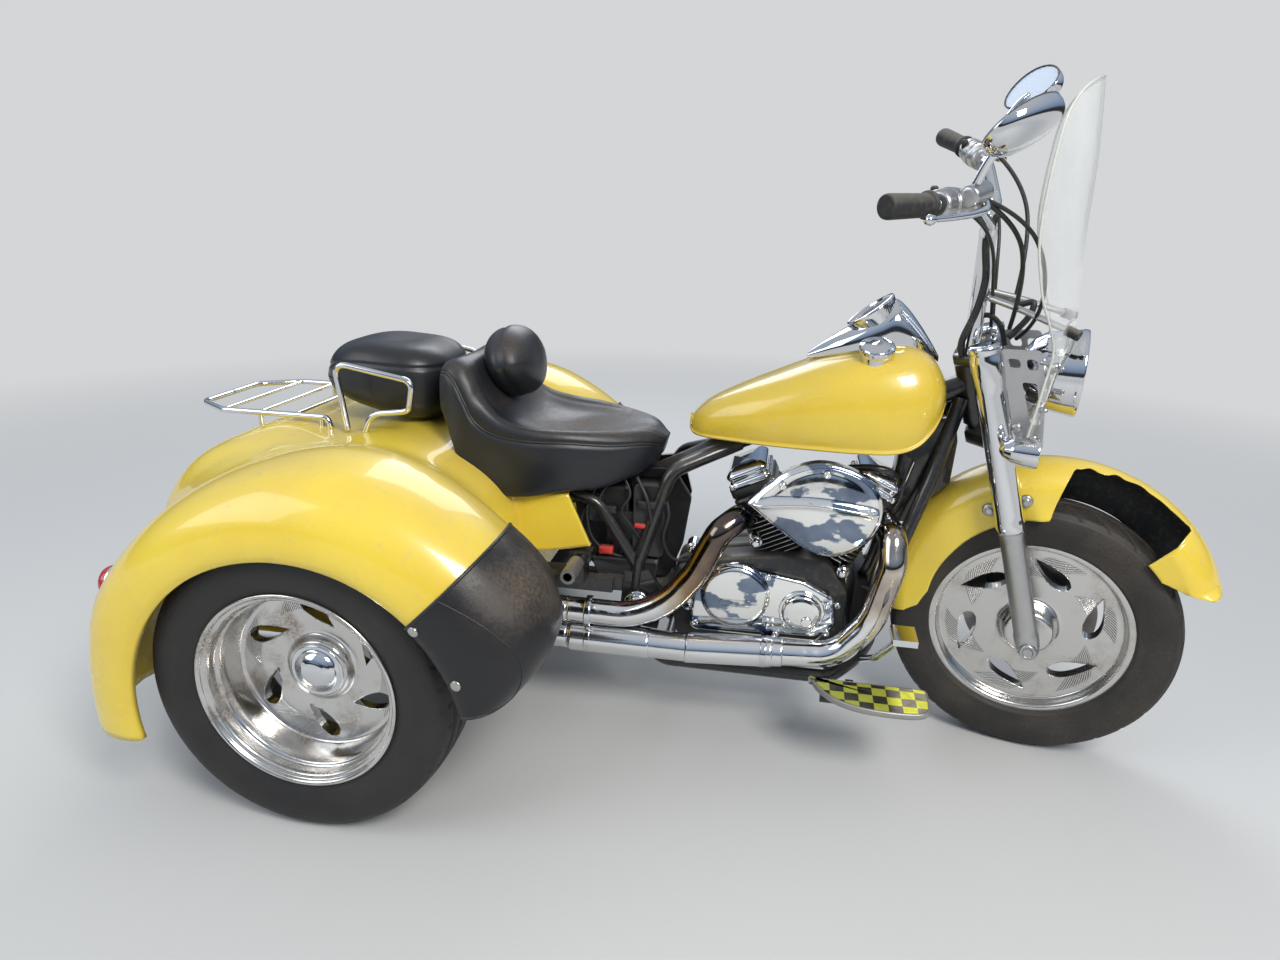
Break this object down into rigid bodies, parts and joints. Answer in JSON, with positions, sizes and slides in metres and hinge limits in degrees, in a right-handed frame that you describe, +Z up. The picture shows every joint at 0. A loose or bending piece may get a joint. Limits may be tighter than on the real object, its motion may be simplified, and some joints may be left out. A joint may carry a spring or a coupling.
{
  "type": "three-wheeled cruiser motorcycle",
  "caption": "Cruiser trike: V-twin engine in a tube frame, raked fork with windshield, wide rear body with fenders over the rear wheels, trunk, stepped seat and luggage rack",
  "frame": {"origin": "on the floor, under the middle of the machine's length and width", "axes": "+X forward, +Y to the rider's left, +Z up"},
  "size_m": [2.3706, 1.408, 1.5479],
  "materials": {
    "paint_yellow": "gloss",
    "paint_black": "gloss",
    "frame_black": "satin",
    "chrome": "polished",
    "alloy": "satin",
    "alloy_polished": "polished",
    "steel": "satin",
    "cast": "rough",
    "tyre": "matt",
    "rubber": "matt",
    "leather": "satin",
    "vinyl": "satin",
    "plastic_black": "matt",
    "lamp_red": "gloss",
    "lamp_amber": "gloss",
    "clear": "clear",
    "board": "checked"
  },
  "bodies": {
    "chassis": {"frame": "frame_black", "rear_carrier": "frame_black", "axle_housing": "cast", "drive_shaft": "steel", "engine": "alloy", "cylinders": "cast", "head_covers": "chrome", "right_cover": "chrome", "left_cover": "chrome", "air_cleaner": "chrome", "radiator": "plastic_black", "exhaust_pipes": "chrome", "mufflers": "chrome", "electrics_box": "plastic_black", "left_side_cover": "paint_black", "trike_body": "paint_yellow", "tail_lamps": "lamp_red", "fender_covers": "vinyl", "luggage_rack": "chrome", "grab_rails": "chrome", "rider_seat": "leather", "pillion_seat": "leather", "rider_backrest": "leather", "fuel_tank": "paint_yellow", "tank_console": "chrome", "filler_cap": "chrome", "foot_brackets": "chrome", "foot_levers": "chrome"},
    "fork": {"yokes": "chrome", "fork_legs": "chrome", "front_axle": "steel", "brake_caliper": "plastic_black", "front_fender": "paint_yellow", "handlebar": "chrome", "grips": "rubber", "hand_controls": "chrome", "mirrors": "chrome", "windshield": "clear", "shield_brackets": "chrome", "headlight": "chrome", "signal_lamps": "lamp_amber", "control_cables": "rubber"},
    "front_wheel": {"front_rim": "alloy_polished", "front_tyre": "tyre", "brake_disc": "steel"},
    "rear_wheel_right": {"rear_rim_right": "alloy_polished", "rear_tyre_right": "tyre"},
    "rear_wheel_left": {"rear_rim_left": "alloy_polished", "rear_tyre_left": "tyre"},
    "trunk_lid": {"trunk_lid": "paint_yellow"},
    "floorboard_right": {"floorboard_right": "board"},
    "floorboard_left": {"floorboard_left": "board"},
    "peg_right": {"peg_right": "rubber"},
    "peg_left": {"peg_left": "rubber"}
  },
  "joints": [
    {"name": "steering", "type": "hinge", "parent": "chassis", "child": "fork", "pos_m": [0.80296, 0, 0.312], "axis": [-0.2756, 0, 0.9613], "range_deg": [-21, 49]},
    {"name": "front_wheel_spin", "type": "hinge", "parent": "fork", "child": "front_wheel", "pos_m": [0.84545, -0.01016, 0.31166], "axis": [0.2325, 0.9703, 0.0667], "continuous": true},
    {"name": "rear_wheel_right_spin", "type": "hinge", "parent": "chassis", "child": "rear_wheel_right", "pos_m": [-0.64335, -0.556, 0.313], "axis": [0, 1, 0], "continuous": true},
    {"name": "rear_wheel_left_spin", "type": "hinge", "parent": "chassis", "child": "rear_wheel_left", "pos_m": [-0.64335, 0.556, 0.313], "axis": [0, 1, 0], "continuous": true},
    {"name": "trunk_lid_hinge", "type": "hinge", "parent": "chassis", "child": "trunk_lid", "pos_m": [-1.08935, 0, 0.643], "axis": [0, 1, 0], "range_deg": [0, 75]},
    {"name": "floorboard_right_fold", "type": "hinge", "parent": "chassis", "child": "floorboard_right", "pos_m": [0.46365, -0.214, 0.196], "axis": [1, 0, 0], "range_deg": [-50, 0]},
    {"name": "floorboard_left_fold", "type": "hinge", "parent": "chassis", "child": "floorboard_left", "pos_m": [0.46365, 0.214, 0.196], "axis": [1, 0, 0], "range_deg": [0, 50]},
    {"name": "peg_right_fold", "type": "hinge", "parent": "chassis", "child": "peg_right", "pos_m": [-0.19835, -0.19, 0.44], "axis": [1, 0, 0], "range_deg": [-80, 0]},
    {"name": "peg_left_fold", "type": "hinge", "parent": "chassis", "child": "peg_left", "pos_m": [-0.19835, 0.19, 0.44], "axis": [1, 0, 0], "range_deg": [0, 80]}
  ]
}
